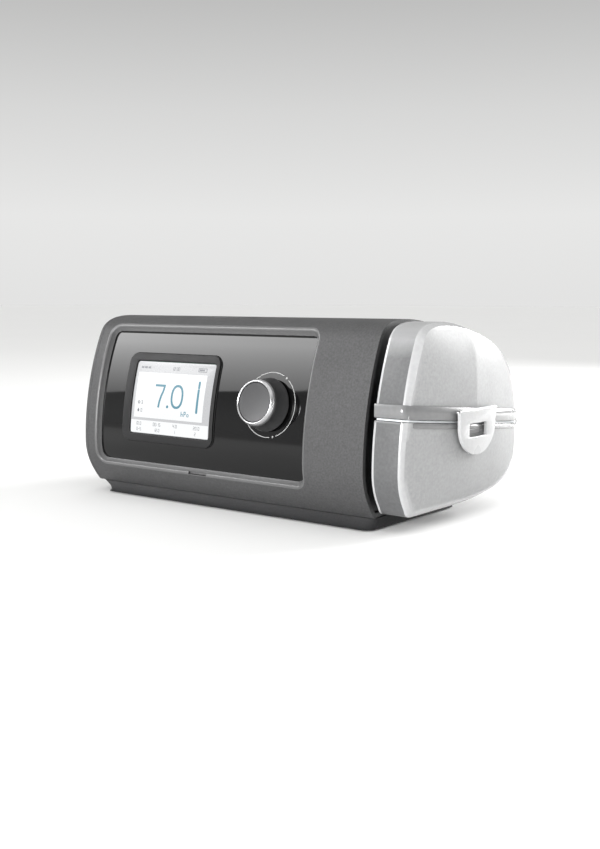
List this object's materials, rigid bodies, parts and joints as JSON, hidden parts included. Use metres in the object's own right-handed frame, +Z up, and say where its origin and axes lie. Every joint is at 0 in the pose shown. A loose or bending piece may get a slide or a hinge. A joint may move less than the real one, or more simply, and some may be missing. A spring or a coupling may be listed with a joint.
{
  "type": "sleep therapy ventilator with humidifier",
  "caption": "Bedside sleep therapy ventilator: curved charcoal housing with recessed glossy panel, display and dial, and a docked water chamber with a hinged lid and latch.",
  "frame": {"origin": "middle of the overall footprint, on the surface the feet stand on", "axes": "+X to the right towards the water chamber, +Y to the rear, +Z up; the control panel faces -Y"},
  "size_m": [0.2582, 0.1443, 0.1142],
  "materials": {
    "charcoal_shell": "charcoal moulded plastic with a fine matte grain",
    "dark_base": "darker moulded plastic, matte",
    "black_plastic": "black moulded plastic, satin",
    "gloss_black": "black, polished like piano lacquer",
    "bezel_grey": "dark grey, half gloss",
    "clear_window": "clear window over the display",
    "lcd_white": "pale lit display",
    "chrome": "bright chrome plating",
    "satin_dark": "dark satin metal effect",
    "steel": "plain steel",
    "aluminium": "plain aluminium",
    "chamber_frosted": "frosted clear plastic, pale silver grey",
    "grey_rubber": "dark rubber",
    "silicone": "pale soft silicone",
    "board_green": "green circuit board",
    "white_plastic": "white moulded plastic",
    "filter_foam": "pale fibre filter"
  },
  "bodies": {
    "housing": {"housing_sleeve": "charcoal_shell", "left_end_cover": "charcoal_shell", "base_plinth": "dark_base", "foot_1": "grey_rubber", "foot_2": "grey_rubber", "foot_3": "grey_rubber", "foot_4": "grey_rubber", "base_screw_1": "steel", "base_screw_2": "steel", "base_screw_3": "steel", "base_screw_4": "steel", "dock_wall": "black_plastic", "tank_bay": "black_plastic", "supply_port_seal": "silicone", "return_port_seal": "silicone", "rear_panel": "dark_base", "hose_outlet": "black_plastic", "power_jack": "black_plastic", "power_jack_pin": "steel", "card_socket": "steel", "filter_box": "black_plastic", "air_filter": "filter_foam", "control_panel": "gloss_black", "display_bezel": "bezel_grey", "display_window": "clear_window", "lcd_module": "lcd_white", "encoder_body": "black_plastic", "start_switch": "black_plastic", "key_board": "board_green", "main_board": "board_green", "chassis_tray": "black_plastic", "flow_sensor": "white_plastic", "blower_lower_case": "white_plastic", "blower_upper_case": "white_plastic", "motor_stator": "steel", "inlet_duct": "silicone", "supply_duct": "silicone", "return_duct": "silicone", "heater_base": "white_plastic", "heater_spring_1": "steel", "heater_spring_2": "steel"},
    "heater": {"heater_plate": "aluminium"},
    "dial_plunger": {"encoder_shaft": "steel"},
    "dial": {"knob_body": "black_plastic", "knob_ring": "chrome", "knob_face": "satin_dark"},
    "start_key": {"start_button": "charcoal_shell"},
    "rotor": {"impeller": "white_plastic", "rotor_shaft": "steel"},
    "chamber": {"tank_body": "chamber_frosted", "tank_deck": "chamber_frosted", "tank_heat_plate": "aluminium", "lid_hinge_pin": "steel"},
    "lid": {"lid_shell": "chamber_frosted", "lid_seal": "silicone", "latch_pin": "steel"},
    "latch": {"latch_plate": "chamber_frosted"},
    "filter_flap": {"filter_door": "dark_base"},
    "card_flap": {"card_door": "dark_base"}
  },
  "joints": [
    {"name": "chamber_slide", "type": "slide", "parent": "housing", "child": "chamber", "axis": [1, 0, 0], "range_m": [0, 0.09]},
    {"name": "lid_open", "type": "hinge", "parent": "chamber", "child": "lid", "pos_m": [0.10795, 0.06943, 0.05073], "axis": [-1, 0, 0], "range_deg": [0, 95]},
    {"name": "latch_flip", "type": "hinge", "parent": "lid", "child": "latch", "pos_m": [0.12805, -0.00077, 0.0643], "axis": [0, -1, 0], "range_deg": [0, 70]},
    {"name": "dial_push", "type": "slide", "parent": "housing", "child": "dial_plunger", "axis": [0, 0.9802, -0.1982], "range_m": [0, 0.0005], "stiffness_N_per_m": 2000, "springref_m": -0.0006},
    {"name": "dial_turn", "type": "hinge", "parent": "dial_plunger", "child": "dial", "pos_m": [0.02415, -0.05599, 0.06481], "axis": [0, -0.9802, 0.1982], "continuous": true},
    {"name": "start_press", "type": "slide", "parent": "housing", "child": "start_key", "axis": [0, 0, -1], "range_m": [0, 0.0008], "stiffness_N_per_m": 1200, "springref_m": -0.0006},
    {"name": "rotor_spin", "type": "hinge", "parent": "housing", "child": "rotor", "pos_m": [-0.06505, 0.00983, 0.036], "axis": [0, 0, 1], "continuous": true},
    {"name": "heater_float", "type": "slide", "parent": "housing", "child": "heater", "axis": [0, 0, 1], "range_m": [-0.0015, 0], "stiffness_N_per_m": 600, "springref_m": 0.002, "deforming": ["heater_spring_1", "heater_spring_2"]},
    {"name": "filter_door_open", "type": "hinge", "parent": "housing", "child": "filter_flap", "pos_m": [-0.10675, 0.07223, 0.05], "axis": [0, 0, 1], "range_deg": [0, 100]},
    {"name": "card_door_open", "type": "hinge", "parent": "housing", "child": "card_flap", "pos_m": [-0.04005, 0.07223, 0.0403], "axis": [-1, 0, 0], "range_deg": [0, 100]}
  ]
}
